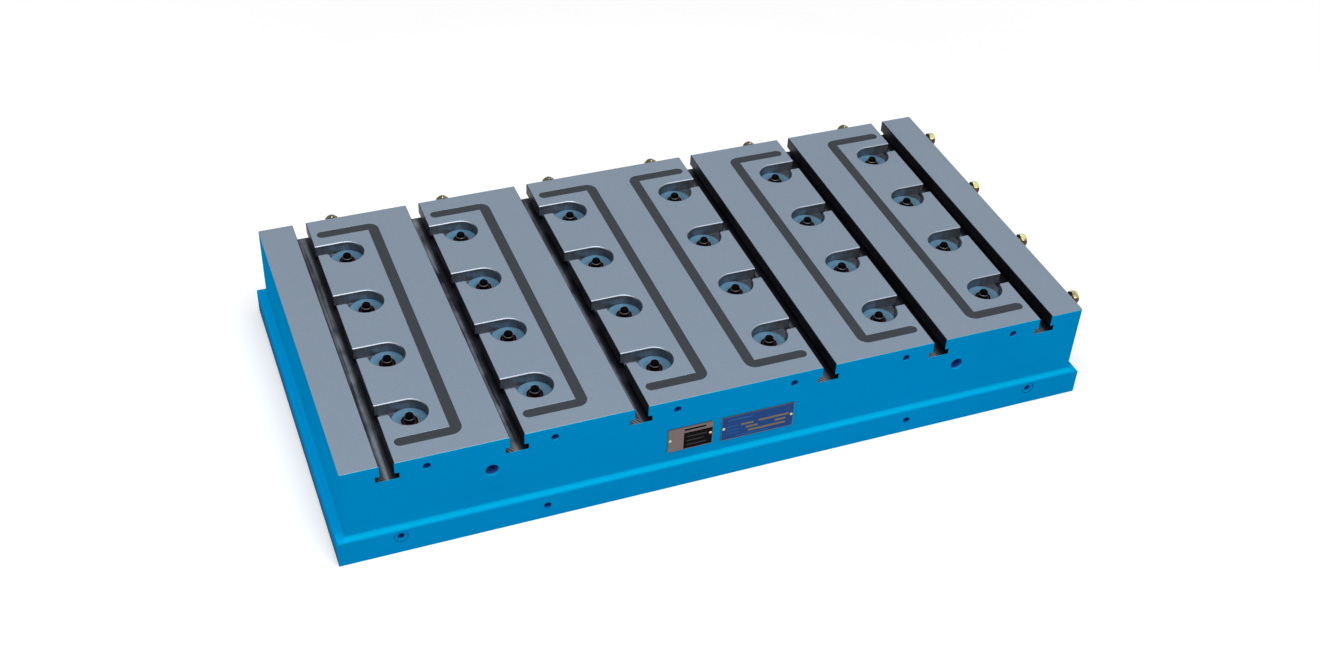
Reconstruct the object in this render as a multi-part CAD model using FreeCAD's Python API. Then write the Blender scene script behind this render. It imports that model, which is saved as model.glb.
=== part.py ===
import FreeCAD, Part
import math
import os

os.makedirs("parts", exist_ok=True)

Vector = FreeCAD.Vector
X_AXIS = Vector(1, 0, 0)
Y_AXIS = Vector(0, 1, 0)
Z_AXIS = Vector(0, 0, 1)

# Vacuum chuck for a machine table. X runs along its length, Y from the front to
# the back and Z up. The origin is the centre of the base plate's underside.

# Block
block_length = 1000.0
block_width = 500.0
block_height = 103.5
edge_break = 1.0

# Base plate, which stands out round the block as a clamping flange
base_height = 37.5
flange_end = 12.0
flange_side = 8.0
flange_break = 2.0

# Levels and edges that follow from them
face_z = base_height + block_height
half_length = block_length / 2
half_width = block_width / 2

# T-slots, three in each half of the face
slots_per_half = 3
slot_pitch = 158.6
inner_slot_x = 127.0
slot_neck = 18.0
slot_head = 29.0
slot_neck_depth = 16.2
slot_depth = 24.8
slot_lip_break = 0.8

# Valve pockets, four beside each T-slot and open to it through a channel
rows = 4
row_pitch = 112.4
pocket_to_slot = 47.7
pocket_radius = 23.0
pocket_depth = 18.0
channel_width = 19.7
channel_corner_radius = 4.0
pocket_rim_break = 1.0

# Valve seat rings, pressed flat on the pocket floors
seat_height = 4.0
seat_hole_radius = 11.0
seat_fit = 0.1

# Valve stems
stem_radius = 6.0
stem_lift = 3.5
stem_face_gap = 0.5
stem_top_depth = stem_lift + stem_face_gap
stem_foot_height = 4.0
stem_fit = 0.1
stem_flat_depth = 2.0
stem_flat_gap = 0.3

# Grip strips, one C round each column of pockets
strip_width = 14.0
strip_depth = 6.0
strip_fit = 0.1
strip_to_column = 46.5
strip_arm_y = 216.3
strip_arm_reach = 23.0

# Tapped holes for work stops, and the stop screws at the back and the right end
stop_depth = 16.0
stop_hole_radius = 5.0
stop_hole_length = 20.0
stop_rows = 4
stop_row_pitch = 138.0
screw_fit = 0.05
screw_tip_gap = 3.0
screw_head_flats = 17.0
screw_head_height = 8.5
screw_neck_length = 11.5
screw_head_break = 0.8

# Lifting holes in the front
lifting_x = 2 * slot_pitch
lifting_depth = 47.0
lifting_hole_radius = 8.0
lifting_hole_length = 30.0
lifting_chamfer = 1.0

# Vacuum channels in the top of the base plate
plenum_depth = 12.0
plenum_channel = 16.0
plenum_half_width = 195.0
rail_reach = 8.0

# Vacuum ports in the front of the base plate, each a threaded bush for a hose union
port_end_inset = 65.5
port_x = half_length - port_end_inset
port_z = 26.3
port_radius = 8.75
port_length = 14.0
port_drill_radius = 4.0
bush_length = 12.0
bush_sink = 0.5
bush_fit = 0.05
bush_bore_radius = 4.4
bush_mouth_break = 0.8

# Dowel holes in the front of the base plate
dowel_x = half_length / 2
dowel_z = 20.0
dowel_radius = 5.0
dowel_length = 20.0

# Seal cord between block and base plate
seal_width = 6.0
seal_depth = 4.0
seal_end_inset = 33.0
seal_side_inset = 31.0
seal_corner_radius = 12.0

# Cap screws that hold the block, put in from below
bolt_radius = 5.0
bolt_hole_radius = 5.5
bolt_head_radius = 8.0
bolt_head_height = 10.0
bolt_counterbore_radius = 9.0
bolt_counterbore_depth = 12.0
bolt_grip = 20.0
bolt_tip_gap = 4.0
bolt_fit = 0.05
bolt_end_inset = 15.0
bolt_side_inset = 14.0

# Plates riveted to the front
plate_thickness = 1.0
plate_z = 73.7
plate_corner_radius = 1.5
name_plate_length = 100.0
name_plate_height = 39.0
name_plate_x = 32.4
notice_plate_length = 61.0
notice_plate_height = 38.0
notice_plate_x = -59.9


def box(low, high):
    """Box between two opposite corners."""
    size = Vector(*high) - Vector(*low)
    return Part.makeBox(size.x, size.y, size.z, Vector(*low))


def cylinder(radius, start, axis, length):
    """Round bar from a start point along an axis."""
    return Part.makeCylinder(radius, length, Vector(*start), axis)


def frustum(radius, end_radius, start, axis, length):
    """Cone piece from a start point along an axis."""
    return Part.makeCone(radius, end_radius, length, Vector(*start), axis)


def hexagon(flats, start, axis, length):
    """Hexagonal bar from a start point along X or Y, with a corner upwards."""
    radius = flats / math.sqrt(3)
    turns = [math.radians(60 * i) for i in range(7)]
    if abs(axis.x) > 0.5:
        ring = [Vector(0, radius * math.sin(t), radius * math.cos(t)) for t in turns]
    else:
        ring = [Vector(radius * math.sin(t), 0, radius * math.cos(t)) for t in turns]
    bar = Part.Face(Part.makePolygon(ring)).extrude(axis * length)
    bar.translate(Vector(*start))
    return bar


def plate_with_round_corners(low, high, radius, axis):
    """Box whose four edges along the axis are rounded."""
    plate = box(low, high)
    edges = [e for e in plate.Edges if abs(abs(e.tangentAt(e.FirstParameter).dot(axis)) - 1) < 1e-6]
    return plate.makeFillet(radius, edges)


def side(x):
    """1 on the right half and -1 on the left half."""
    return 1 if x > 0 else -1


slots = [
    hand * (inner_slot_x + i * slot_pitch) for hand in (-1, 1) for i in range(slots_per_half)
]
slots.sort()
columns = [x - side(x) * pocket_to_slot for x in slots]
row_places = [(i - (rows - 1) / 2) * row_pitch for i in range(rows)]
pockets = [(x, y) for x in columns for y in row_places]
pocket_floor = face_z - pocket_depth
stop_z = face_z - stop_depth
stop_places = [(i - (stop_rows - 1) / 2) * stop_row_pitch for i in range(stop_rows)]
bolt_places = [
    (x, y)
    for x in (-half_length + bolt_end_inset, 0, half_length - bolt_end_inset)
    for y in (-half_width + bolt_side_inset, half_width - bolt_side_inset)
]


def t_slot(x):
    """Space of one T-slot, open at the front, the back and the top."""
    neck = slot_neck / 2
    head = slot_head / 2
    lip = slot_lip_break
    top = face_z
    right = [
        (neck + lip, top),
        (neck, top - lip),
        (neck, top - slot_neck_depth),
        (head, top - slot_neck_depth),
        (head, top - slot_depth),
    ]
    left = [(-u, z) for u, z in reversed(right)]
    ring = [Vector(x + u, -half_width, z) for u, z in right + left]
    return Part.Face(Part.makePolygon(ring + ring[:1])).extrude(Vector(0, block_width, 0))


def pocket_outline(x, y, level, grow):
    """Face in the outline of one pocket and of the channel from its far side to the T-slot."""
    hand = side(x)
    r = pocket_radius + grow
    c = channel_corner_radius - grow
    near = pocket_radius - channel_width - grow
    # the land's corner between channel and pocket is round, tangent to both
    corner_y = near - c
    corner_x = math.sqrt((r + c) ** 2 - corner_y**2)
    corner_turn = math.atan2(corner_y, corner_x)
    mid_turn = (corner_turn + math.pi / 2) / 2

    def at(u, v):
        return Vector(x + hand * u, y + v, level)

    far_slot = at(pocket_to_slot, r)
    far_pocket = at(0, r)
    near_slot = at(pocket_to_slot, near)
    near_corner = at(corner_x, near)
    corner_end = at(r * math.cos(corner_turn), r * math.sin(corner_turn))
    corner_mid = at(corner_x - c * math.sin(mid_turn), corner_y + c * math.cos(mid_turn))
    edges = [
        Part.makeLine(far_slot, far_pocket),
        Part.Arc(far_pocket, at(-r, 0), corner_end).toShape(),
        Part.Arc(corner_end, corner_mid, near_corner).toShape(),
        Part.makeLine(near_corner, near_slot),
        Part.makeLine(near_slot, far_slot),
    ]
    return Part.Face(Part.Wire(edges))


def pocket(x, y):
    """Space of one pocket with its channel, wider at the face by the broken rim."""
    space = pocket_outline(x, y, pocket_floor, 0).extrude(Vector(0, 0, pocket_depth))
    rim_z = face_z - pocket_rim_break
    rim = pocket_outline(x, y, rim_z, pocket_rim_break).extrude(Vector(0, 0, 2 * pocket_rim_break))
    low_edges = [e for e in rim.Edges if all(abs(v.Z - rim_z) < 1e-6 for v in e.Vertexes)]
    return space.fuse(rim.makeChamfer(pocket_rim_break, low_edges))


def grip_c(x, gap, floor_z):
    """C of one grip strip, or of its groove where the gap is above zero, up to the face."""
    hand = side(x)
    w = strip_width / 2 + gap
    back = -strip_to_column
    end = strip_arm_reach
    arm = strip_arm_y
    outer = 2 * w

    def at(u, v):
        return Vector(x + hand * u, v, floor_z)

    def arc(a, b, c):
        return Part.Arc(at(*a), at(*b), at(*c)).toShape()

    def line(a, b):
        return Part.makeLine(at(*a), at(*b))

    diagonal = outer * math.sqrt(0.5)
    corner_u = back + w
    corner_v = arm - w
    edges = [
        line((corner_u, arm + w), (end, arm + w)),
        arc((end, arm + w), (end + w, arm), (end, arm - w)),
        line((end, arm - w), (corner_u, corner_v)),
        line((corner_u, corner_v), (corner_u, -corner_v)),
        line((corner_u, -corner_v), (end, -arm + w)),
        arc((end, -arm + w), (end + w, -arm), (end, -arm - w)),
        line((end, -arm - w), (corner_u, -arm - w)),
        arc(
            (corner_u, -arm - w),
            (corner_u - diagonal, -corner_v - diagonal),
            (corner_u - outer, -corner_v),
        ),
        line((corner_u - outer, -corner_v), (corner_u - outer, corner_v)),
        arc(
            (corner_u - outer, corner_v),
            (corner_u - diagonal, corner_v + diagonal),
            (corner_u, arm + w),
        ),
    ]
    return Part.Face(Part.Wire(edges)).extrude(Vector(0, 0, face_z - floor_z))


def chuck_body():
    """Block with the T-slots, pockets, strip grooves, stem bores and tapped holes."""
    block = box((-half_length, -half_width, base_height), (half_length, half_width, face_z))
    upright = [e for e in block.Edges if abs(e.Vertexes[0].Z - e.Vertexes[1].Z) > 1]
    block = block.makeChamfer(edge_break, upright)
    cuts = [t_slot(x) for x in slots]
    cuts += [pocket(x, y) for x, y in pockets]
    cuts += [grip_c(x, strip_fit, face_z - strip_depth) for x in columns]
    for x, y in pockets:
        bore = (x, y, base_height)
        cuts.append(cylinder(stem_radius + stem_fit, bore, Z_AXIS, pocket_floor - base_height))
    for x in columns:
        cuts.append(cylinder(stop_hole_radius, (x, -half_width, stop_z), Y_AXIS, stop_hole_length))
        cuts.append(cylinder(stop_hole_radius, (x, half_width, stop_z), -Y_AXIS, stop_hole_length))
    for y in stop_places:
        cuts.append(cylinder(stop_hole_radius, (half_length, y, stop_z), -X_AXIS, stop_hole_length))
    for x in (-lifting_x, lifting_x):
        mouth = (x, -half_width, face_z - lifting_depth)
        wide = lifting_hole_radius + lifting_chamfer
        cuts.append(cylinder(lifting_hole_radius, mouth, Y_AXIS, lifting_hole_length))
        cuts.append(frustum(wide, lifting_hole_radius, mouth, Y_AXIS, lifting_chamfer))
    for x, y in bolt_places:
        cuts.append(cylinder(bolt_radius, (x, y, base_height), Z_AXIS, bolt_grip + bolt_tip_gap))
    return block.cut(cuts)


def seal_loop():
    """Rectangular loop in the top of the base plate, which the seal cord fills."""
    floor_z = base_height - seal_depth
    half_u = half_length - seal_end_inset
    half_v = half_width - seal_side_inset
    w = seal_width / 2
    outer = plate_with_round_corners(
        (-half_u - w, -half_v - w, floor_z),
        (half_u + w, half_v + w, base_height),
        seal_corner_radius + w,
        Z_AXIS,
    )
    inner = plate_with_round_corners(
        (-half_u + w, -half_v + w, floor_z),
        (half_u - w, half_v - w, base_height),
        seal_corner_radius - w,
        Z_AXIS,
    )
    return outer.cut(inner)


def plenum():
    """Vacuum channels: one under each column of stems, joined by a rail at each end row."""
    floor_z = base_height - plenum_depth
    half = plenum_channel / 2
    reach = port_x + rail_reach
    spaces = [
        box((x - half, -plenum_half_width, floor_z), (x + half, plenum_half_width, base_height))
        for x in columns
    ]
    for y in (row_places[0], row_places[-1]):
        spaces.append(box((-reach, y - half, floor_z), (reach, y + half, base_height)))
    return spaces[0].fuse(spaces[1:]).removeSplitter()


def base_plate():
    """Base plate with its flange, vacuum channels, ports, dowel holes and screw holes."""
    half_l = half_length + flange_end
    half_w = half_width + flange_side
    plate = box((-half_l, -half_w, 0), (half_l, half_w, base_height))
    top_edges = [e for e in plate.Edges if all(abs(v.Z - base_height) < 1e-6 for v in e.Vertexes)]
    plate = plate.makeChamfer(flange_break, top_edges)
    cuts = [plenum(), seal_loop()]
    for x in (-port_x, port_x):
        mouth = (x, -half_w, port_z)
        cuts.append(cylinder(port_radius, mouth, Y_AXIS, port_length))
        cuts.append(cylinder(port_drill_radius, mouth, Y_AXIS, half_w + row_places[0]))
    for x in (-dowel_x, dowel_x):
        cuts.append(cylinder(dowel_radius, (x, -half_w, dowel_z), Y_AXIS, dowel_length))
    for x, y in bolt_places:
        cuts.append(cylinder(bolt_hole_radius, (x, y, 0), Z_AXIS, base_height))
        cuts.append(cylinder(bolt_counterbore_radius, (x, y, 0), Z_AXIS, bolt_counterbore_depth))
    return plate.cut(cuts)


def base_bolts():
    """Cap screws from the base plate into the block."""
    bolts = []
    for x, y in bolt_places:
        head_z = bolt_counterbore_depth - bolt_head_height
        shank = base_height - bolt_counterbore_depth + bolt_grip
        head = cylinder(bolt_head_radius, (x, y, head_z), Z_AXIS, bolt_head_height)
        bar = cylinder(bolt_radius - bolt_fit, (x, y, bolt_counterbore_depth), Z_AXIS, shank)
        bolts.append(head.fuse(bar))
    return Part.makeCompound(bolts)


def valve_seats():
    """Pale rings on the pocket floors, each round its stem's seal."""
    rings = []
    for x, y in pockets:
        ring = cylinder(pocket_radius - seat_fit, (x, y, pocket_floor), Z_AXIS, seat_height)
        rings.append(ring.cut(cylinder(seat_hole_radius, (x, y, pocket_floor), Z_AXIS, seat_height)))
    return Part.makeCompound(rings)


def valve_stem(x, y):
    """Stem that closes one pocket's bore. A flat down its side lets air past once it is pulled up."""
    foot = base_height + stem_foot_height
    top = face_z - stem_top_depth
    stem = cylinder(stem_radius, (x, y, foot), Z_AXIS, top - foot)
    flat_x = stem_radius - stem_flat_depth
    flat = box(
        (x + flat_x, y - stem_radius, foot),
        (x + stem_radius, y + stem_radius, pocket_floor - stem_flat_gap),
    )
    return stem.cut(flat)


def grip_strip(x):
    """Strip in its groove, flush with the face."""
    return grip_c(x, 0, face_z - strip_depth)


def stop_screw(start, axis):
    """Hex screw in a side of the block, drawn out so that a stop can be slipped behind its head."""
    shank = stop_hole_length - screw_tip_gap + screw_neck_length
    root = Vector(*start) - axis * (stop_hole_length - screw_tip_gap)
    seat = Vector(*start) + axis * screw_neck_length
    bar = cylinder(stop_hole_radius - screw_fit, root, axis, shank)
    head = hexagon(screw_head_flats, seat, axis, screw_head_height)
    # the cone takes the corners off the outer end of the head
    rim = screw_head_flats / math.sqrt(3) - screw_head_break
    return bar.fuse(head.common(frustum(rim + screw_head_height, rim, seat, axis, screw_head_height)))


def port_bush(x):
    """Bush in one vacuum port, bored through for a hose union's thread."""
    mouth = (x, -half_width - flange_side + bush_sink, port_z)
    wide = bush_bore_radius + bush_mouth_break
    bush = cylinder(port_radius - bush_fit, mouth, Y_AXIS, bush_length)
    bore = cylinder(bush_bore_radius, mouth, Y_AXIS, bush_length)
    return bush.cut([bore, frustum(wide, bush_bore_radius, mouth, Y_AXIS, bush_mouth_break)])


def front_plate(x, length, height):
    """Bare metal plate on the front of the block."""
    low = (x - length / 2, -half_width - plate_thickness, plate_z + name_plate_height / 2 - height)
    high = (x + length / 2, -half_width, plate_z + name_plate_height / 2)
    return plate_with_round_corners(low, high, plate_corner_radius, Y_AXIS)


pieces = {
    "chuck_body": chuck_body(),
    "base_plate": base_plate(),
    "base_seal": seal_loop(),
    "base_bolts": base_bolts(),
    "valve_seats": valve_seats(),
    "stop_screws_back": Part.makeCompound(
        [stop_screw((x, half_width, stop_z), Y_AXIS) for x in columns]
    ),
    "stop_screws_end": Part.makeCompound(
        [stop_screw((half_length, y, stop_z), X_AXIS) for y in stop_places]
    ),
    "port_bushes": Part.makeCompound([port_bush(x) for x in (-port_x, port_x)]),
    "name_plate": front_plate(name_plate_x, name_plate_length, name_plate_height),
    "notice_plate": front_plate(notice_plate_x, notice_plate_length, notice_plate_height),
}
for letter, column in zip("abcdef", columns):
    pieces["grip_strip_" + letter] = grip_strip(column)
    for number, row in enumerate(row_places, 1):
        pieces["valve_stem_" + letter + str(number)] = valve_stem(column, row)

for name, shape in pieces.items():
    shape.exportStep("parts/" + name + ".step")
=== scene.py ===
import math

import bmesh
import bpy
from mathutils import Euler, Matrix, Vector


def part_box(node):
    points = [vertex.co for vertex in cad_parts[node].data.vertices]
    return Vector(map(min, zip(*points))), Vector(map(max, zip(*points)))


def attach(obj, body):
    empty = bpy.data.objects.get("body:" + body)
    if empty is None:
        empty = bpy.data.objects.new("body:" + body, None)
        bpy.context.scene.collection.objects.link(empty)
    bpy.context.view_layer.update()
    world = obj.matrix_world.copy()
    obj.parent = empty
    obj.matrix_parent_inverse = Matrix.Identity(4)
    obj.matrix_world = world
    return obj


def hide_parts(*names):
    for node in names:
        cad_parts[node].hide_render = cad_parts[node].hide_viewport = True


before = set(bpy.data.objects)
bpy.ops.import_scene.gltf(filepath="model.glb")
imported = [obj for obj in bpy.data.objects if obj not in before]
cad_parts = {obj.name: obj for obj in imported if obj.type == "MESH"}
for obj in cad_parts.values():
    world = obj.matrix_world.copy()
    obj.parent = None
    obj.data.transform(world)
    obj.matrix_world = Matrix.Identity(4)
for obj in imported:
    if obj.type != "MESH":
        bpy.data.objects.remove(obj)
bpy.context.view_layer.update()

# The vacuum chuck on a pale floor. Lengths are in metres, in the frame of the CAD model.
MM = 0.001

# Places read from the frame
body_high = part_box("chuck_body")[1]
base_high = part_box("base_plate")[1]
face_z = body_high.z
half_length = body_high.x
half_width = body_high.y
seat_low, seat_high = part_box("valve_seats")
pocket_floor = seat_low.z

# Sizes of the small trim
stem_radius = 6.0 * MM
stem_foot_chamfer = 0.6 * MM
cap_radius = 5.35 * MM
cap_rounding = 1.8 * MM
cap_groove_depth = 0.3 * MM
stem_flat_x = 4.0 * MM
stem_flat_gap = 0.3 * MM
collar_radius = 6.7 * MM
collar_low = 6.0 * MM
collar_glint = 8.9 * MM
collar_high = 9.9 * MM
cup_radius = 10.5 * MM
cup_bore_radius = 8.9 * MM
cup_height = 4.3 * MM
ring_middle_radius = 7.6 * MM
ring_cord_radius = 1.25 * MM
ring_level = 2.4 * MM
seat_radius = 22.9 * MM
seat_hole_radius = 10.6 * MM
seat_line_radius = 16.5 * MM
seat_line_half = 0.3 * MM
seat_line_depth = 0.25 * MM
seat_cone_radius = 15.0 * MM
seat_cone_depth = 1.0 * MM
slot_pitch = 158.6 * MM
row_pitch = 112.4 * MM
inner_slot_x = 127.0 * MM
slot_shift = slot_pitch / 2 - inner_slot_x
slot_lip_half = 9.9 * MM
slot_head_half = 14.7 * MM
slot_neck_depth = 16.0 * MM
slot_depth = 24.8 * MM
block_chamfer = 1.0 * MM
fillet_radius = 5.0 * MM
port_seam_radius = 8.45 * MM
port_seam_half = 0.3 * MM
screw_inset = 1.0 * MM
screw_neck = 11.5 * MM
screw_end = 20.0 * MM
screw_flats = 17.0 * MM
screw_crest_radius = 4.95 * MM
screw_thread_depth = 0.65 * MM
screw_pitch = 1.5 * MM
screw_end_chamfer = 1.4 * MM
washer_radius = 8.0 * MM
washer_height = 0.5 * MM
dimple_radius = 5.0 * MM
dimple_depth = 0.5 * MM
rivet_radius = 2.1 * MM
rivet_height = 1.0 * MM
rivet_root = 0.3 * MM
rivet_inset = 3.2 * MM
name_plate_rim = 0.9 * MM
notice_plate_rim = 0.8 * MM
bar_height = 0.12 * MM
rule_height = 0.18 * MM

# Reach of paint, shade and light edges
wall_skin = 1.6 * MM
slot_wall_skin = 0.3 * MM
hole_skin = 1.7 * MM
rim_height = 1.1 * MM
slot_floor_slack = 0.3 * MM
hole_band = 50.0 * MM
hole_paint_reach = 7.0 * MM
low_hole_depth = 25.0 * MM
stop_hole_depth = 10.0 * MM
flange_hole_margin = 20.0 * MM
foot_glow = 18.0 * MM
ledge_edge = 1.0 * MM
ledge_corner_softness = 2.0 * MM
end_shade_height = 21.0 * MM
end_shade_softness = 18.0 * MM

# White that the floor adds for the camera and for reflections, near the chuck and far away
floor_lift = 0.27
far_lift = 0.62
far_middle = 2.8
far_softness = 3.6

# Colours, linear
GROUND_STEEL = (0.212, 0.266, 0.333)
POCKET_STEEL = (0.215, 0.24, 0.28)
# Painted shade in the pockets, and painted shade and painted highlight on the pocket rims
POCKET_SHADE = (0.03, 0.035, 0.042)
EDGE_SHADE = (0.05, 0.055, 0.065)
EDGE_HIGHLIGHT = (0.33, 0.37, 0.43)
# Painted shade in the slots, and painted light on the slot floors and at their mouths
SLOT_SHADE = (0.020, 0.021, 0.030)
SLOT_LIT = (0.20, 0.23, 0.265)
SLOT_MOUTH_LIT = (0.25, 0.29, 0.32)
PAINT = (0.0, 0.246, 0.550)
# Painted light on up-facing paint, at the foot of the walls and on the end ledges; painted shade low
# on the left end and inside the holes
PAINT_LIT = (0.0, 0.42, 0.69)
PAINT_END_LIT = (0.0, 0.345, 0.70)
FOOT_SHADE = (0.035, 0.07, 0.12)
HOLE_SHADE_PAINT = (0.035, 0.12, 0.42)
STRIP_GREY = (0.029, 0.035, 0.043)
SEAT_BLUE = (0.108, 0.24, 0.36)
SEAT_GREY = (0.082, 0.165, 0.245)
# Painted shade on the right part of each seat
SEAT_SHADE = (0.02, 0.035, 0.055)
BLACK_OXIDE = (0.0015, 0.0015, 0.002)
COLLAR_STEEL = (0.16, 0.16, 0.17)
COLLAR_DARK = (0.006, 0.006, 0.007)
SEAL_RED = (0.042, 0.004, 0.007)
# Brass of the faces with a painted highlight, then painted olive and red-brown shade on the other
# faces
BRASS = (0.70, 0.66, 0.29)
OLIVE_BRASS_SHADE = (0.10, 0.085, 0.05)
RED_BRASS_SHADE = (0.105, 0.045, 0.022)
BRONZE = (0.20, 0.145, 0.09)
PLATE_RIM = (0.13, 0.10, 0.085)
RIVET_BRASS = (0.62, 0.50, 0.28)
TARNISH = (0.05, 0.03, 0.015)
NAME_BLUE = (0.007, 0.052, 0.20)
NAME_PALE = (0.03, 0.12, 0.33)
PLATE_TAUPE = (0.19, 0.15, 0.14)
PANEL_BLACK = (0.004, 0.003, 0.003)
PANEL_GREY = (0.045, 0.04, 0.04)
SEAM_NAVY = (0.0, 0.03, 0.08)
CORD_BLACK = (0.018, 0.018, 0.019)
TURNED_SHADE = (0.92, 0.92, 0.92)
WHITE = (1.0, 1.0, 1.0)
FLOOR_PALE = (0.80, 0.80, 0.80)


# Shader building blocks


class Shader:
    """A material whose nodes are added by short calls."""

    def __init__(self, name):
        self.material = bpy.data.materials.new(name)
        self.material.use_nodes = True
        self.tree = self.material.node_tree
        self.bsdf = next(n for n in self.tree.nodes if n.type == "BSDF_PRINCIPLED")
        coordinates = self.tree.nodes.new("ShaderNodeTexCoord")
        self.place = coordinates.outputs["Object"]
        split = self.tree.nodes.new("ShaderNodeSeparateXYZ")
        self.tree.links.new(self.place, split.inputs[0])
        self.x, self.y, self.z = split.outputs

    def put(self, socket, value):
        """Links an output to an input, or sets a plain value on it."""
        if isinstance(value, bpy.types.NodeSocket):
            self.tree.links.new(value, socket)
        elif socket.type == "RGBA":
            socket.default_value = (*value, 1.0)
        else:
            socket.default_value = value

    def math(self, operation, a, b=0.0, c=0.0):
        node = self.tree.nodes.new("ShaderNodeMath")
        node.operation = operation
        for socket, value in zip(node.inputs, (a, b, c)):
            self.put(socket, value)
        return node.outputs[0]

    def above(self, value, edge, softness=0.0):
        """1 where the value is above the edge, 0 below, with a ramp as wide as the softness."""
        if softness == 0.0:
            return self.math("GREATER_THAN", value, edge)
        node = self.tree.nodes.new("ShaderNodeMapRange")
        for name, number in (("From Min", edge - softness / 2), ("From Max", edge + softness / 2)):
            node.inputs[name].default_value = number
        self.put(node.inputs["Value"], value)
        return node.outputs["Result"]

    def below(self, value, edge, softness=0.0):
        """1 where the value is below the edge, 0 above."""
        return self.math("SUBTRACT", 1.0, self.above(value, edge, softness))

    def both(self, *masks):
        """1 where all the masks are 1."""
        result = masks[0]
        for mask in masks[1:]:
            result = self.math("MULTIPLY", result, mask)
        return result

    def either(self, *masks):
        """1 where one of the masks is 1."""
        result = masks[0]
        for mask in masks[1:]:
            result = self.math("MAXIMUM", result, mask)
        return result

    def length(self, a, b):
        """Length of the flat vector with the parts a and b."""
        square = self.math("ADD", self.math("MULTIPLY", a, a), self.math("MULTIPLY", b, b))
        return self.math("SQRT", square)

    def mix(self, factor, a, b, blend_type="MIX"):
        """Colour a where the factor is 0 and b where it is 1."""
        node = self.tree.nodes.new("ShaderNodeMix")
        node.data_type = "RGBA"
        node.blend_type = blend_type
        self.put(node.inputs[0], factor)
        self.put(node.inputs[6], a)
        self.put(node.inputs[7], b)
        return node.outputs[2]

    def blend(self, factor, a, b):
        """Number a where the factor is 0 and b where it is 1."""
        node = self.tree.nodes.new("ShaderNodeMix")
        self.put(node.inputs[0], factor)
        self.put(node.inputs[2], a)
        self.put(node.inputs[3], b)
        return node.outputs[0]

    def noise(self, scale, stretch=(1, 1, 1), detail=3.0, roughness=0.55):
        mapping = self.tree.nodes.new("ShaderNodeMapping")
        mapping.inputs["Scale"].default_value = stretch
        self.tree.links.new(self.place, mapping.inputs["Vector"])
        node = self.tree.nodes.new("ShaderNodeTexNoise")
        node.inputs["Scale"].default_value = scale
        node.inputs["Detail"].default_value = detail
        node.inputs["Roughness"].default_value = roughness
        self.tree.links.new(mapping.outputs[0], node.inputs["Vector"])
        return node.outputs["Fac"]

    def varied(self, colour, noise, amount):
        """The colour, made darker and lighter by the noise."""
        dark = tuple(c * (1 - amount) for c in colour)
        light = tuple(min(1.0, c * (1 + amount)) for c in colour)
        return self.mix(self.above(noise, 0.5, 0.6), dark, light)

    def bump(self, height, distance, strength=1.0, edge=0.0):
        """Fine relief, on edges that look broken by a small radius where edge is above 0."""
        node = self.tree.nodes.new("ShaderNodeBump")
        node.inputs["Distance"].default_value = distance
        node.inputs["Strength"].default_value = strength
        self.put(node.inputs["Height"], height)
        if edge:
            bevel = self.tree.nodes.new("ShaderNodeBevel")
            bevel.samples = 6
            bevel.inputs["Radius"].default_value = edge
            self.put(node.inputs["Normal"], bevel.outputs[0])
        self.put(self.bsdf.inputs["Normal"], node.outputs[0])

    def relief_noise(self, scale, distance=0.01 * MM, strength=0.4, detail=2.0):
        """Fine noise that also gives the surface its relief."""
        noise = self.noise(scale, detail=detail)
        self.bump(noise, distance, strength)
        return noise

    def finish(self, colour, metallic, roughness, specular=0.5):
        self.put(self.bsdf.inputs["Base Color"], colour)
        self.put(self.bsdf.inputs["Metallic"], metallic)
        self.put(self.bsdf.inputs["Roughness"], roughness)
        self.bsdf.inputs["Specular IOR Level"].default_value = specular
        return self.material


def normal(shader, output="True Normal"):
    """The three parts of the direction in which a surface looks."""
    geometry = shader.tree.nodes.new("ShaderNodeNewGeometry")
    split = shader.tree.nodes.new("ShaderNodeSeparateXYZ")
    shader.tree.links.new(geometry.outputs[output], split.inputs[0])
    return split.outputs


def paint_colour(shader):
    """Blue machine paint, with painted light on up-facing surfaces and at the foot of the walls, and
    painted shade low on the left end.
    """
    slow = shader.noise(9.0, detail=2.0)
    # Painted light: surfaces facing up, and the walls just above the ledge, get a lighter paint
    foot = shader.below(shader.z, base_high.z + foot_glow / 2, foot_glow)
    up = normal(shader, "Normal")[2]
    glow = shader.math("MULTIPLY", foot, 0.16)
    lit = shader.either(shader.above(up, edge=0.62, softness=0.76), glow)
    wall = shader.above(shader.z, base_high.z - ledge_edge)

    # The ledges of the ends and of the long sides meet on the diagonal of each corner
    past_end = shader.math("SUBTRACT", shader.math("ABSOLUTE", shader.x), half_length)
    past_side = shader.math("SUBTRACT", shader.math("ABSOLUTE", shader.y), half_width)
    over_diagonal = shader.math("SUBTRACT", past_end, past_side)
    end_part = shader.above(over_diagonal, edge=0.0, softness=ledge_corner_softness)
    end_part = shader.both(end_part, shader.above(past_end, 0.2 * MM))
    # Painted light: the lit paint of the end ledges differs a little from that of the long sides
    lit_colour = shader.mix(end_part, PAINT_LIT, PAINT_END_LIT)
    colour = shader.mix(
        shader.both(lit, wall), shader.varied(PAINT, slow, amount=0.05), lit_colour
    )

    # Painted shade: darker paint low on the left end
    left_end = shader.below(shader.x, 0.5 * MM - base_high.x)
    low = shader.both(left_end, shader.below(shader.z, end_shade_height, end_shade_softness))
    return shader.mix(shader.math("MULTIPLY", low, 0.65), colour, FOOT_SHADE)


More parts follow.
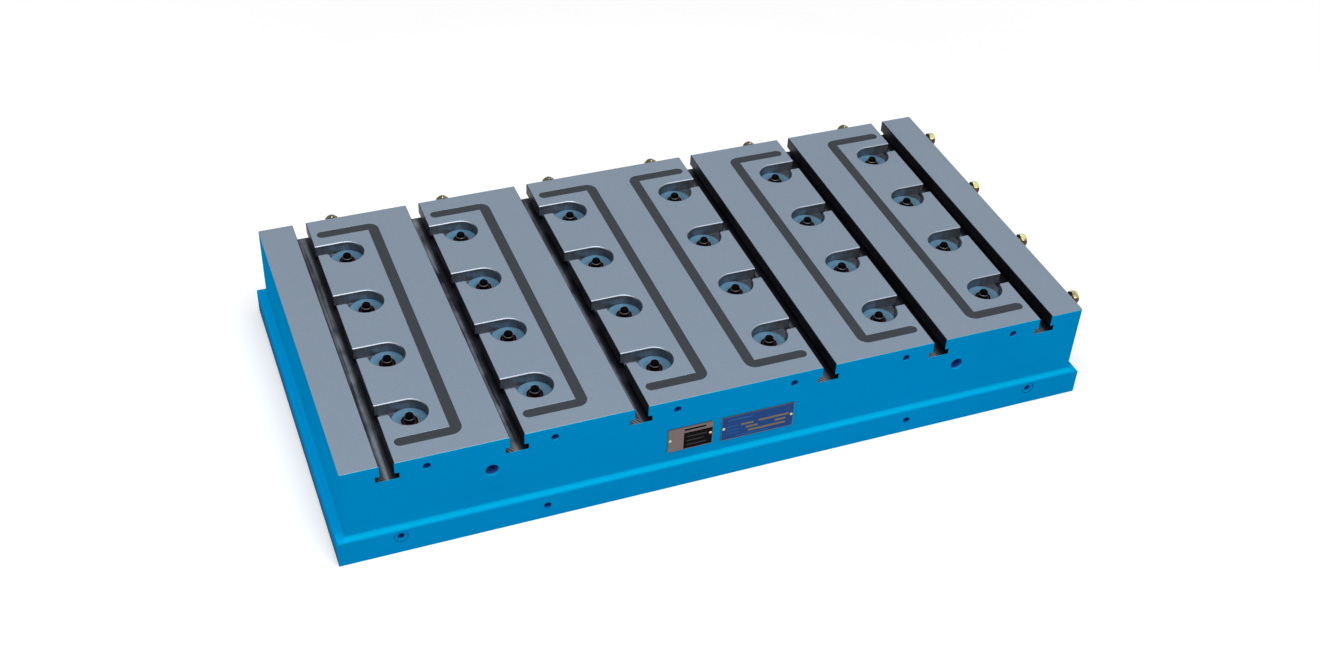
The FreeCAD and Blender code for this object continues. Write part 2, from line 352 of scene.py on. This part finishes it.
def slot_pattern(s, depth):
    """How far a point is from the nearest slot's middle, and a mask of the slots."""
    along = s.math("ABSOLUTE", s.x)
    shifted = s.math("WRAP", s.math("ADD", along, slot_shift), slot_pitch)
    from_slot = s.math("SUBTRACT", shifted, slot_pitch / 2)
    off_slot = s.math("ABSOLUTE", from_slot)
    in_neck = s.below(off_slot, slot_lip_half)
    in_head = s.both(s.below(off_slot, slot_head_half), s.above(depth, slot_neck_depth))
    above_floor = s.below(depth, slot_depth + slot_floor_slack)
    return from_slot, s.both(s.either(in_neck, in_head), above_floor)


def painted_mask(s, depth, in_slot, off_face):
    """Paint on the outer walls and in the holes of the front, the back and the ends."""
    across = s.math("ABSOLUTE", s.y)
    along = s.math("ABSOLUTE", s.x)
    skin = s.blend(in_slot, wall_skin, slot_wall_skin)
    side_start = s.math("SUBTRACT", half_width, skin)
    walls = s.either(s.above(along, half_length - wall_skin), s.above(across, side_start))
    column = s.math("SUBTRACT", s.math("WRAP", along, slot_pitch), slot_pitch / 2)
    near_hole = s.below(s.math("ABSOLUTE", column), hole_paint_reach)
    outer_band = s.above(across, half_width - hole_band)
    low_holes = s.both(outer_band, s.above(depth, low_hole_depth))
    stop_holes = s.both(outer_band, near_hole, s.above(depth, stop_hole_depth))
    return s.both(s.either(walls, low_holes, stop_holes), off_face)


def block_paint(s, rim):
    """Paint of the block, with a painted highlight on its broken edges and painted shade inside its
    holes.
    """
    in_hole = s.both(
        s.below(s.math("ABSOLUTE", s.y), half_width - hole_skin),
        s.below(s.math("ABSOLUTE", s.x), half_length - hole_skin),
    )
    # Painted highlight on the rims, painted shade inside the holes
    return s.mix(in_hole, s.mix(rim, paint_colour(s), PAINT_LIT), HOLE_SHADE_PAINT)


def ground_steel(s, grain):
    """Ground face with fine sparkle and slow clouding."""
    cloud = s.noise(3.5)
    sparkle = s.varied(GROUND_STEEL, grain, amount=0.16)
    return s.mix(0.4, sparkle, s.varied(GROUND_STEEL, cloud, amount=0.06))


def pocket_steel(s, depth, rim, tool_marks):
    """Milled pocket walls, with painted shade near the face and on surfaces facing sideways or up, a
    painted highlight on the rims facing the front and painted shade on the other rims.
    """
    to_right, to_back_side, up = normal(s)
    wall = s.varied(POCKET_STEEL, tool_marks, amount=0.3)
    sideways = s.above(s.either(s.math("ABSOLUTE", to_right), up), edge=0.45, softness=0.6)
    shallow = s.below(depth, edge=4.5 * MM, softness=5.0 * MM)
    # Painted shade near the face and on surfaces facing sideways or up
    dim = s.either(s.math("MULTIPLY", shallow, 0.35), s.math("MULTIPLY", sideways, 0.6))
    # Painted highlight on rims facing the front, painted shade on the others
    to_front_side = s.math("MULTIPLY", to_back_side, -1.0)
    facing_front = s.above(to_front_side, edge=0.38, softness=0.4)
    rim_light_and_shade = s.mix(facing_front, EDGE_SHADE, EDGE_HIGHLIGHT)
    return s.mix(s.both(rim, s.above(up, 0.3)), s.mix(dim, wall, POCKET_SHADE), rim_light_and_shade)


def mouth_light_stripes(s, from_slot):
    """Painted light on the slot floor near the front, in oblique stripes like cutter marks, more on
    the right.
    """
    oblique = s.math("ADD", s.math("MULTIPLY", s.y, 0.7), s.x)
    wave = s.math("SINE", s.math("MULTIPLY", oblique, 1300.0))
    near_front = s.below(s.y, edge=13.0 * MM - half_width, softness=14.0 * MM)
    to_left = s.math("MULTIPLY", from_slot, s.math("SIGN", s.x))
    left_side = s.below(to_left, edge=0.0, softness=8.0 * MM)
    to_the_right = s.above(s.x, edge=-0.3, softness=0.5)
    return s.both(near_front, left_side, s.math("MULTIPLY_ADD", wave, 0.45, 0.55), to_the_right)


def slot_steel(s, depth, from_slot, in_slot, tool_marks):
    """Slot walls and floor in painted shade, with painted light in long scratch-like streaks along
    the middle of the floor and at the mouth.
    """
    on_floor = s.both(s.above(depth, slot_depth - slot_floor_slack), s.above(normal(s)[2], 0.5))
    scratches = s.noise(260.0, stretch=(1.0, 0.03, 1.0), detail=2.0)
    patches = s.noise(24.0, stretch=(0.6, 1.0, 1.0), detail=2.0)
    off_middle = s.math("ABSOLUTE", s.math("ADD", from_slot, 0.5 * MM))
    # Painted light along the middle of the slot floor, in scratch-like streaks
    middle = s.below(off_middle, edge=3.5 * MM, softness=6.0 * MM)
    lit_streaks = s.above(s.math("MULTIPLY", scratches, patches), edge=0.245, softness=0.17)
    floor_colour = s.mix(s.both(middle, lit_streaks), SLOT_SHADE, SLOT_LIT)
    # Painted light at the slot mouths
    floor_colour = s.mix(mouth_light_stripes(s, from_slot), floor_colour, SLOT_MOUTH_LIT)
    slot_walls = s.varied(SLOT_SHADE, tool_marks, amount=0.4)
    return s.mix(s.both(in_slot, on_floor), slot_walls, floor_colour)


def block_material():
    """Ground face, bare slots and pockets, and painted outer walls with their holes."""
    s = Shader("chuck_block")
    depth = s.math("SUBTRACT", face_z, s.z)
    face = s.both(s.below(depth, 0.05 * MM), s.above(normal(s)[2], 0.9))
    off_face = s.below(face, 0.5)
    rim = s.both(s.below(depth, rim_height), off_face)
    from_slot, in_slot = slot_pattern(s, depth)
    painted = painted_mask(s, depth, in_slot, off_face)

    grain = s.noise(520.0, detail=2.0, roughness=0.7)
    tool_marks = s.noise(150.0, stretch=(1.0, 1.0, 0.12))
    pocket_wall = pocket_steel(s, depth, rim, tool_marks)
    slot = slot_steel(s, depth, from_slot, in_slot, tool_marks)
    metal = s.mix(face, s.mix(in_slot, pocket_wall, slot), ground_steel(s, grain))
    colour = s.mix(painted, metal, block_paint(s, s.both(rim, painted)))
    peel = s.noise(260.0, detail=1.5)
    s.bump(s.blend(painted, grain, peel), distance=0.02 * MM, strength=0.6, edge=0.9 * MM)
    return s.finish(colour, s.blend(painted, 0.85, 0.0), roughness=0.42, specular=0.0)


def paint_material():
    """Painted casting of the base plate and the bushes in it, with painted shade inside the holes."""
    s = Shader("machine_paint")
    s.relief_noise(260.0, distance=0.02 * MM, strength=0.6, detail=1.5)
    # Painted shade: darker paint inside the holes
    in_hole = s.both(
        s.below(s.math("ABSOLUTE", s.y), base_high.y - hole_skin),
        s.below(s.math("ABSOLUTE", s.x), half_length - flange_hole_margin),
        s.below(s.z, base_high.z - 0.5 * MM),
    )
    colour = s.mix(in_hole, paint_colour(s), HOLE_SHADE_PAINT)
    return s.finish(colour, metallic=0.0, roughness=0.42, specular=0.0)


def strip_material():
    """Dark grey rubber, ground flush with the face."""
    s = Shader("grip_rubber")
    grain = s.relief_noise(1200.0, distance=0.03 * MM, strength=0.5)
    colour = s.varied(STRIP_GREY, grain, amount=0.12)
    return s.finish(colour, metallic=0.0, roughness=0.62, specular=0.15)


def seat_material():
    """Pale blue anodised aluminium, finely turned, greyer inside the turned line, with painted shade
    on the right part of each seat.
    """
    s = Shader("seat_anodised")
    fine = s.relief_noise(700.0)
    column = s.math("WRAP", s.math("ABSOLUTE", s.x), slot_pitch)
    row = s.math("WRAP", s.math("ABSOLUTE", s.y), row_pitch)
    off_x = s.math("SUBTRACT", column, slot_pitch / 2)
    off_y = s.math("SUBTRACT", row, row_pitch / 2)
    inner = s.below(s.length(off_x, off_y), edge=seat_cone_radius, softness=4.5 * MM)
    colour = s.mix(inner, SEAT_BLUE, SEAT_GREY)
    # Painted shade on the right part of each seat
    to_the_right = s.math("MULTIPLY", off_x, s.math("SIGN", s.x))
    right = s.above(to_the_right, edge=9.0 * MM, softness=12.0 * MM)
    colour = s.mix(s.math("MULTIPLY", right, 0.3), colour, SEAT_SHADE)
    shade = s.mix(s.above(fine, edge=0.5, softness=0.6), TURNED_SHADE, WHITE)
    colour = s.mix(1.0, colour, shade, "MULTIPLY")
    return s.finish(colour, metallic=0.2, roughness=0.4, specular=0.2)


def stem_material():
    """Black oxide steel."""
    s = Shader("black_oxide")
    colour = s.varied(BLACK_OXIDE, s.relief_noise(900.0), amount=0.3)
    return s.finish(colour, metallic=0.0, roughness=0.3, specular=0.01)


def collar_material():
    """Polished steel at the top of the collar, black oxide below."""
    s = Shader("collar_polished")
    steel = s.varied(COLLAR_STEEL, s.relief_noise(900.0), amount=0.1)
    polished = s.above(s.z, pocket_floor + collar_glint, softness=0.4 * MM)
    colour = s.mix(polished, COLLAR_DARK, steel)
    return s.finish(colour, metallic=0.9, roughness=0.22, specular=0.02)


def seal_material():
    """Dark red silicone."""
    s = Shader("seal_silicone")
    colour = s.varied(SEAL_RED, s.relief_noise(800.0), amount=0.12)
    return s.finish(colour, metallic=0.0, roughness=0.38, specular=0.1)


def black_rubber_material():
    """Plain black rubber of the hidden seal cord."""
    s = Shader("seal_cord_rubber")
    fine = s.relief_noise(600.0, distance=0.02 * MM, strength=0.5, detail=3.0)
    return s.finish(s.varied(CORD_BLACK, fine, amount=0.2), metallic=0.0, roughness=0.6)


def brass_material():
    """Turned brass with a painted highlight on faces turned to the back, the right, or the front and
    up, painted olive shade on other up-facing faces, painted red-brown shade on the rest, and random
    tarnish.
    """
    s = Shader("turned_brass")
    tarnish = s.noise(90.0)
    fine = s.relief_noise(1500.0, strength=0.5, detail=1.0)
    to_right, to_back_side, up = normal(s)
    to_front_side = s.math("MULTIPLY", to_back_side, -1.0)
    # Painted highlight on faces turned to the back, the right, or the front and up; painted shade on
    # the others
    brass_highlight = s.either(
        s.above(to_back_side, edge=0.5, softness=0.4),
        s.above(to_right, edge=0.7, softness=0.3),
        s.both(s.above(to_front_side, edge=0.3, softness=0.25), s.above(up, edge=0.5, softness=0.4)),
    )
    brass_shade = s.mix(s.above(up, edge=0.3, softness=0.4), RED_BRASS_SHADE, OLIVE_BRASS_SHADE)
    metal = s.mix(brass_highlight, brass_shade, s.varied(BRASS, fine, amount=0.08))
    colour = s.mix(s.above(tarnish, edge=0.6, softness=0.25), metal, TARNISH)
    return s.finish(colour, metallic=0.85, roughness=0.28)


def plate_material(name, node, ground, rim_width):
    """Enamelled or bare metal plate with a narrow bronze rim."""
    s = Shader(name)
    low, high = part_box(node)
    middle = (low + high) / 2
    out_x = s.math("ABSOLUTE", s.math("SUBTRACT", s.x, middle.x))
    out_z = s.math("ABSOLUTE", s.math("SUBTRACT", s.z, middle.z))
    rim = s.either(
        s.above(out_x, (high.x - low.x) / 2 - rim_width),
        s.above(out_z, (high.z - low.z) / 2 - rim_width),
    )
    brushed = s.noise(420.0, stretch=(0.1, 1.0, 1.0))
    s.bump(brushed, distance=0.01 * MM, strength=0.4)
    colour = s.mix(rim, s.varied(ground, brushed, amount=0.08), PLATE_RIM)
    return s.finish(colour, s.blend(rim, 0.1, 0.7), roughness=0.38, specular=0.08)


def trim_material(name, colour, metallic, roughness):
    """Thin paint or metal of small trim."""
    s = Shader(name)
    fine = s.relief_noise(900.0, detail=3.0)
    return s.finish(s.varied(colour, fine, amount=0.1), metallic, roughness, specular=0.02)


# Mesh building blocks


def mesh_object(name, vertices, faces, material):
    """Object from vertices and faces, smooth apart from sharp edges."""
    mesh = bpy.data.meshes.new(name)
    mesh.from_pydata([tuple(v) for v in vertices], [], faces)
    merged = bmesh.new()
    merged.from_mesh(mesh)
    bmesh.ops.remove_doubles(merged, verts=merged.verts, dist=0.001 * MM)
    merged.to_mesh(mesh)
    merged.free()
    mesh.materials.append(material)
    mesh.shade_smooth()
    mesh.set_sharp_from_angle(angle=math.radians(35))
    piece = bpy.data.objects.new(name, mesh)
    bpy.context.scene.collection.objects.link(piece)
    return piece


def lathe(profile, centre, turn, segments):
    """Vertices and faces of a profile turned round an axis.

    The profile is a list of (radius, height) points. A third value, where a point has one, is
    a function of the angle that caps the radius, for flats. turn takes a point with its third
    value along the axis to a place beside the centre.
    """
    vertices = []
    for radius, height, *cap in profile:
        for i in range(segments):
            angle = 2 * math.pi * i / segments
            r = min(radius, cap[0](angle)) if cap else radius
            vertices.append(centre + turn(Vector((r * math.cos(angle), r * math.sin(angle), height))))
    faces = []
    for j in range(len(profile) - 1):
        for i in range(segments):
            k = (i + 1) % segments
            a, b = j * segments, (j + 1) * segments
            faces.append((a + i, a + k, b + k, b + i))
    return vertices, faces


def joined(parts):
    """One list of vertices and one of faces from several pairs."""
    vertices, faces = [], []
    for part_vertices, part_faces in parts:
        start = len(vertices)
        vertices.extend(part_vertices)
        faces.extend(tuple(start + i for i in face) for face in part_faces)
    return vertices, faces


def upright(point):
    return point


def to_back(point):
    """An axis that points to the back, with a corner of the hexagon upwards."""
    return Vector((point.y, point.z, point.x))


def to_end(point):
    """An axis that points to the right end, with a corner of the hexagon upwards."""
    return Vector((point.z, -point.y, point.x))


def to_front(point):
    """An axis that points to the front."""
    return Vector((point.x, -point.z, point.y))


def hexagon_cap(flats):
    """Radius of a hexagon at an angle, with a corner at angle 0."""

    def cap(angle):
        turned = (angle + math.pi / 6) % (math.pi / 3) - math.pi / 6
        return flats / 2 / math.cos(math.pi / 6 - abs(turned))

    return cap


def flat_cap(distance):
    """Radius at an angle of a flat across angle 0, at a distance from the axis."""

    def cap(angle):
        return distance / max(math.cos(angle), 0.01)

    return cap


# Pieces


def stem_places():
    """Each valve stem's node name, with the centre of its foot and the height of its top."""
    places = {}
    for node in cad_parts:
        if node.startswith("valve_stem_"):
            low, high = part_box(node)
            foot = Vector(((low.x + high.x) / 2, (low.y + high.y) / 2, low.z))
            places[node] = (foot, high.z)
    return places


def rings_round_stems(name, profile, places, material):
    """The same turned ring on each pocket floor, from a profile above the floor."""
    parts = [
        lathe(profile, Vector((foot.x, foot.y, pocket_floor)), upright, 72) for foot, _ in places
    ]
    return mesh_object(name, *joined(parts), material)


def seat_rings(places, material):
    """Pale blue seat rings with a coned middle, a fine turned line and a small outer chamfer."""
    top = seat_high.z - seat_low.z
    chamfer = 0.5 * MM
    profile = [
        (seat_hole_radius, 0.0),
        (seat_radius, 0.0),
        (seat_radius, top - chamfer),
        (seat_radius - chamfer, top),
        (seat_line_radius + seat_line_half, top),
        (seat_line_radius, top - seat_line_depth),
        (seat_line_radius - seat_line_half, top),
        (seat_cone_radius, top),
        (seat_cone_radius - 0.8 * MM, top - 0.15 * MM),
        (seat_hole_radius, top - seat_cone_depth),
        (seat_hole_radius, 0.0),
    ]
    return rings_round_stems("seat_rings", profile, places, material)


def seal_cups(places, material):
    """Black cups in the seat holes, which hold the sealing rings."""
    profile = [
        (cup_bore_radius, 0.0),
        (cup_radius, 0.0),
        (cup_radius, cup_height - 1.3 * MM),
        (cup_radius - 0.3 * MM, cup_height - 0.3 * MM),
        (cup_radius - 0.7 * MM, cup_height),
        (cup_bore_radius + 0.4 * MM, cup_height),
        (cup_bore_radius, cup_height - 0.4 * MM),
        (cup_bore_radius, 0.0),
    ]
    return rings_round_stems("seal_cups", profile, places, material)


def seal_rings(places, material):
    """Red sealing rings in the cups, round the stems."""
    sides = 16
    turns = [2 * math.pi * j / sides for j in range(sides + 1)]
    profile = [
        (
            ring_middle_radius + ring_cord_radius * math.cos(turn),
            ring_level + ring_cord_radius * math.sin(turn),
        )
        for turn in turns
    ]
    return rings_round_stems("seal_rings", profile, places, material)


def stem(node, foot, top, material):
    """Stem with a rounded cap, a groove under it and the flat of its lower part."""
    floor = pocket_floor - foot.z
    flat_end = floor - stem_flat_gap
    neck = floor + collar_high
    height = top - foot.z
    flat = flat_cap(stem_flat_x)
    profile = [
        (0.0, 0.0),
        (stem_radius - stem_foot_chamfer, 0.0, flat),
        (stem_radius, stem_foot_chamfer, flat),
        (stem_radius, flat_end, flat),
        (stem_radius, flat_end),
        (stem_radius, neck),
        (cap_radius - cap_groove_depth, neck + 0.1 * MM),
        (cap_radius - cap_groove_depth, neck + 0.4 * MM),
        (cap_radius, neck + 0.6 * MM),
    ]
    steps = 4
    for i in range(steps + 1):
        turn = math.pi / 2 * i / steps
        radius = cap_radius - cap_rounding * (1 - math.cos(turn))
        profile.append((radius, height - cap_rounding * (1 - math.sin(turn))))
    profile.append((0.0, height))
    shape = lathe(profile, foot, upright, 48)
    return mesh_object(node + "_turned", *shape, material)


def stem_collar(node, foot, material):
    """Polished steel sleeve under the cap of a stem."""
    profile = [
        (stem_radius - 0.2 * MM, collar_low),
        (collar_radius - 0.4 * MM, collar_low),
        (collar_radius, collar_low + 0.5 * MM),
        (collar_radius, collar_high - 0.9 * MM),
        (collar_radius - 0.2 * MM, collar_high - 0.4 * MM),
        (stem_radius + 0.1 * MM, collar_high),
        (stem_radius - 0.2 * MM, collar_high),
    ]
    shape = lathe(profile, Vector((foot.x, foot.y, pocket_floor)), upright, 48)
    return mesh_object(node + "_collar", *shape, material)


def foot_fillet(material):
    """Painted fillet where the block stands on the flange."""
    steps = 8
    sides = 8
    vertices, faces = [], []
    for j in range(steps + 1):
        turn = math.pi / 2 * j / steps
        out = fillet_radius * (1 - math.cos(turn))
        level = base_high.z + fillet_radius * (1 - math.sin(turn))
        cut = block_chamfer - out * math.tan(math.pi / 8)
        x, y = half_length + out, half_width + out
        for right, back in ((1, -1), (1, 1), (-1, 1), (-1, -1)):
            corner = [(right * x, back * (y - cut)), (right * (x - cut), back * y)]
            if right * back < 0:
                corner.reverse()
            vertices += [Vector((u, v, level)) for u, v in corner]
    for j in range(steps):
        for i in range(sides):
            k = (i + 1) % sides
            a, b = j * sides, (j + 1) * sides
            faces.append((a + i, a + k, b + k, b + i))
    return mesh_object("foot_fillet", vertices, faces, material)


def port_seams(material):
    """Dark seam round each port bush."""
    low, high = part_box("port_bushes")
    middle_z = (low.z + high.z) / 2
    reach = (high.x - low.x - (high.z - low.z)) / 2
    profile = [
        (port_seam_radius + port_seam_half * math.cos(turn), port_seam_half * math.sin(turn))
        for turn in (math.pi * i / 8 for i in range(9))
    ]
    rings = [lathe(profile, Vector((x, low.y, middle_z)), to_front, 48) for x in (-reach, reach)]
    return mesh_object("port_seams", *joined(rings), material)


def stop_screw(centre, turn):
    """Hex screw with a threaded neck, a washer face and a chamfered, dimpled head."""
    root = screw_crest_radius - screw_thread_depth
    turns = int(screw_neck / screw_pitch)
    profile = [(0.0, -screw_inset), (root, -screw_inset)]
    for i in range(turns):
        low = i * screw_pitch
        profile += [
            (root, low),
            (screw_crest_radius, low + 0.4 * screw_pitch),
            (screw_crest_radius, low + 0.55 * screw_pitch),
        ]
    hexagon = hexagon_cap(screw_flats)
    corner = screw_flats / math.sqrt(3)
    face = screw_neck + washer_height
    profile += [
        (root, turns * screw_pitch),
        (root, screw_neck),
        (washer_radius, screw_neck),
        (washer_radius, face),
        (corner - 0.9 * MM, face, hexagon),
        (corner, face + 0.8 * MM, hexagon),
        (corner, screw_end - screw_end_chamfer, hexagon),
        (corner - screw_end_chamfer, screw_end),
        (dimple_radius + 0.6 * MM, screw_end),
        (dimple_radius, screw_end - dimple_depth),
        (0.0, screw_end - dimple_depth),
    ]
    return lathe(profile, centre, turn, 72)


def rivet(centre):
    """Low brass dome on the front."""
    profile = [(rivet_radius, -rivet_root)]
    for i in range(7):
        turn = math.radians(15 * i)
        profile.append((rivet_radius * math.cos(turn), rivet_height * math.sin(turn)))
    return lathe(profile, centre, to_front, 24)


def flat_bar(low_x, high_x, low_z, high_z, y, proud):
    """Thin raised rectangle on a front plate."""
    corners = [(low_x, low_z), (high_x, low_z), (high_x, high_z), (low_x, high_z)]
    vertices = [Vector((x, level, z)) for level in (y, y - proud) for x, z in corners]
    faces = [(4, 5, 6, 7), (0, 1, 5, 4), (1, 2, 6, 5), (2, 3, 7, 6), (3, 0, 4, 7)]
    return vertices, faces


def bars_on(node, name, bars, material, proud=bar_height):
    """Thin raised bars on a plate. Each is its left, right, low and high edge as a share."""
    low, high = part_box(node)
    width = high.x - low.x
    height = high.z - low.z
    shapes = [
        flat_bar(
            low.x + left * width, low.x + right * width, low.z + foot * height, low.z + top * height,
            low.y, proud,
        )
        for left, right, foot, top in bars
    ]
    return mesh_object(name, *joined(shapes), material)


def name_plate_fields(material):
    """Blank bronze fields in three rows."""
    bars = [
        (0.37, 0.89, 0.19, 0.27),
        (0.335, 0.50, 0.35, 0.43),
        (0.74, 0.89, 0.36, 0.44),
        (0.265, 0.44, 0.51, 0.59),
        (0.51, 0.93, 0.53, 0.61),
    ]
    return bars_on("name_plate", "name_plate_fields", bars, material)


def name_plate_lines(material):
    """Faint rules above, beside and below the bronze fields."""
    bars = [(0.08, 0.42, 0.80, 0.85), (0.20, 0.66, 0.08, 0.115)]
    bars += [(0.08, 0.24, level, level + 0.03) for level in (0.24, 0.38, 0.53)]
    return bars_on("name_plate", "name_plate_lines", bars, material)


def notice_panel(material):
    """Plain dark panel on the right part of the notice plate, with a short bar over it."""
    bars = [(0.355, 0.985, 0.03, 0.73), (0.36, 0.84, 0.825, 0.90)]
    return bars_on("notice_plate", "notice_panel", bars, material)


def notice_rules(material):
    """Thin rules on the dark panel."""
    levels = ((0.16, 0.86), (0.34, 0.80), (0.52, 0.86))
    bars = [(0.42, right, level, level + 0.05) for level, right in levels]
    return bars_on("notice_plate", "notice_rules", bars, material, rule_height)


def finish_nodes(paint, black):
    """Gives the listed nodes of the frame and the grip strips their materials."""
    rubber = strip_material()
    finishes = {
        "chuck_body": block_material(),
        "base_plate": paint,
        "port_bushes": paint,
        "base_seal": black_rubber_material(),
        "base_bolts": black,
        "name_plate": plate_material("name_enamel", "name_plate", NAME_BLUE, name_plate_rim),
        "notice_plate": plate_material("notice_metal", "notice_plate", PLATE_TAUPE, notice_plate_rim),
    }
    for node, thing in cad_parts.items():
        material = rubber if node.startswith("grip_strip_") else finishes.get(node)
        if material:
            thing.data.materials.clear()
            thing.data.materials.append(material)


def dress_pockets(places, black):
    """Adds seat rings, cups, sealing rings and stems with their collars."""
    rings = seat_rings(places.values(), seat_material())
    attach(rings, "chuck")
    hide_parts("valve_seats")
    seals = seal_rings(places.values(), seal_material())
    cups = seal_cups(places.values(), black)
    for piece in (seals, cups):
        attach(piece, "chuck")
    polished = collar_material()
    for node, (foot, top) in places.items():
        piece = stem(node, foot, top, black)
        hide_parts(node)
        for part in (piece, stem_collar(node, foot, polished)):
            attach(part, node.replace("valve_stem_", "stem_"))


def dress_stop_screws(places, brass):
    """Adds the turned screws of the back and the right end."""
    back_low, back_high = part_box("stop_screws_back")
    end_low, end_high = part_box("stop_screws_end")
    stop_z = (back_low.z + back_high.z) / 2
    columns = sorted({round(foot.x, 5) for foot, _ in places.values()})
    back = joined([stop_screw(Vector((x, half_width, stop_z)), to_back) for x in columns])
    reach = end_high.y - end_low.y - (back_high.z - back_low.z)
    first = -reach / 2
    ends = [first + i * reach / 3 for i in range(4)]
    end = joined([stop_screw(Vector((half_length, y, stop_z)), to_end) for y in ends])
    for name, shape, node in (
        ("back_screws", back, "stop_screws_back"),
        ("end_screws", end, "stop_screws_end"),
    ):
        piece = mesh_object(name, *shape, brass)
        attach(piece, "chuck")
        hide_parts(node)


def plate_rivets(material):
    """Two rivets on each front plate."""
    rivets = []
    for node in ("name_plate", "notice_plate"):
        low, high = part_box(node)
        for x in (low.x + rivet_inset, high.x - rivet_inset):
            rivets.append(rivet(Vector((x, low.y, (low.z + high.z) / 2))))
    return mesh_object("plate_rivets", *joined(rivets), material)


def dress_trim(paint):
    """Adds the rivets, fields and rules of the plates, the foot fillet and the port seams."""
    trim = (
        (plate_rivets(trim_material("rivet_brass", RIVET_BRASS, 0.5, 0.3)), "brass"),
        (name_plate_fields(trim_material("field_bronze", BRONZE, 0.3, 0.4)), "brass"),
        (name_plate_lines(trim_material("line_pale", NAME_PALE, 0.0, 0.4)), "name_metal"),
        (notice_panel(trim_material("panel_black", PANEL_BLACK, 0.0, 0.4)), "notice_metal"),
        (notice_rules(trim_material("rule_grey", PANEL_GREY, 0.0, 0.4)), "notice_metal"),
        (foot_fillet(paint), "base_paint"),
        (port_seams(trim_material("seam_navy", SEAM_NAVY, 0.0, 0.5)), "base_paint"),
    )
    for piece, slot in trim:
        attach(piece, "chuck")


def dress():
    """Gives the listed nodes their materials, puts turned pieces in place of the seats, stems and
    stop screws, and adds the turned and riveted trim.
    """
    paint = paint_material()
    black = stem_material()
    places = stem_places()
    finish_nodes(paint, black)
    dress_pockets(places, black)
    dress_stop_screws(places, brass_material())
    dress_trim(paint)


# Stage, light and camera


def seen_directly(tree):
    """1 for camera, glossy and transmission rays, 0 for all others."""
    path = tree.nodes.new("ShaderNodeLightPath")
    seen = path.outputs["Is Camera Ray"]
    for ray in ("Is Glossy Ray", "Is Transmission Ray"):
        larger = tree.nodes.new("ShaderNodeMath")
        larger.operation = "MAXIMUM"
        tree.links.new(seen, larger.inputs[0])
        tree.links.new(path.outputs[ray], larger.inputs[1])
        seen = larger.outputs[0]
    return seen


def white_background(tree, strength):
    """White light from all round, of the given strength."""
    node = tree.nodes.new("ShaderNodeBackground")
    node.inputs["Color"].default_value = (*WHITE, 1.0)
    node.inputs["Strength"].default_value = strength
    return node.outputs[0]


def set_world():
    """Soft even light, with a white background for the camera and for reflections."""
    world = bpy.data.worlds.new("studio")
    world.use_nodes = True
    tree = world.node_tree
    tree.nodes.clear()
    mix = tree.nodes.new("ShaderNodeMixShader")
    output = tree.nodes.new("ShaderNodeOutputWorld")
    tree.links.new(seen_directly(tree), mix.inputs[0])
    tree.links.new(white_background(tree, strength=0.35), mix.inputs[1])
    tree.links.new(white_background(tree, strength=1.0), mix.inputs[2])
    tree.links.new(mix.outputs[0], output.inputs["Surface"])
    bpy.context.scene.world = world


def make_floor():
    """Pale floor under the chuck, white to the camera far away."""
    size = 6.0
    corners = [(-size, -size, 0), (size, -size, 0), (size, size, 0), (-size, size, 0)]
    s = Shader("floor_pale")
    s.bump(s.noise(40.0), distance=0.05 * MM, strength=0.3)
    floor_material = s.finish(FLOOR_PALE, metallic=0.0, roughness=0.7, specular=0.0)
    far = s.above(s.length(s.x, s.y), far_middle, far_softness)
    lift = s.blend(far, floor_lift, floor_lift + far_lift)
    shown = s.math("MULTIPLY", seen_directly(s.tree), lift)
    s.put(s.bsdf.inputs["Emission Strength"], shown)
    s.bsdf.inputs["Emission Color"].default_value = (*WHITE, 1.0)
    floor = mesh_object("floor", corners, [(0, 1, 2, 3)], floor_material)


def add_area_light(name, place, aim, size, watts):
    """Round soft lamp, which the camera doesn't see."""
    light = bpy.data.lights.new(name, "AREA")
    light.shape = "DISK"
    light.size = size
    light.energy = watts
    lamp = bpy.data.objects.new(name, light)
    lamp.visible_camera = False
    lamp.location = place
    lamp.rotation_euler = (Vector(aim) - Vector(place)).to_track_quat("-Z", "Y").to_euler()
    bpy.context.scene.collection.objects.link(lamp)


def add_camera():
    """Camera at the photograph's viewpoint, found from the corners and slots of the face."""
    place = (-0.7010, -1.6457, 1.5027)
    heading = math.radians(-22.98)
    tilt = math.radians(50.65)
    roll = math.radians(3.24)
    data = bpy.data.cameras.new("camera")
    data.sensor_width = 36.0
    data.lens = 45.445
    camera = bpy.data.objects.new("camera", data)
    turn = Euler((0, 0, heading)).to_matrix() @ Euler((tilt, 0, 0)).to_matrix()
    camera.rotation_euler = (turn @ Euler((0, 0, roll)).to_matrix()).to_euler()
    camera.location = place
    bpy.context.scene.collection.objects.link(camera)
    bpy.context.scene.camera = camera


dress()
set_world()
make_floor()
add_area_light("key", place=(-0.2, -0.7, 2.8), aim=(0, 0, 0), size=2.4, watts=72)
add_area_light("fill", place=(1.0, -2.8, 1.4), aim=(0, 0, 0.1), size=2.2, watts=12)
add_area_light("side", place=(-2.7, -0.3, 0.5), aim=(-0.5, 0, 0.07), size=0.8, watts=10)
add_camera()
bpy.context.scene.view_settings.view_transform = "Standard"
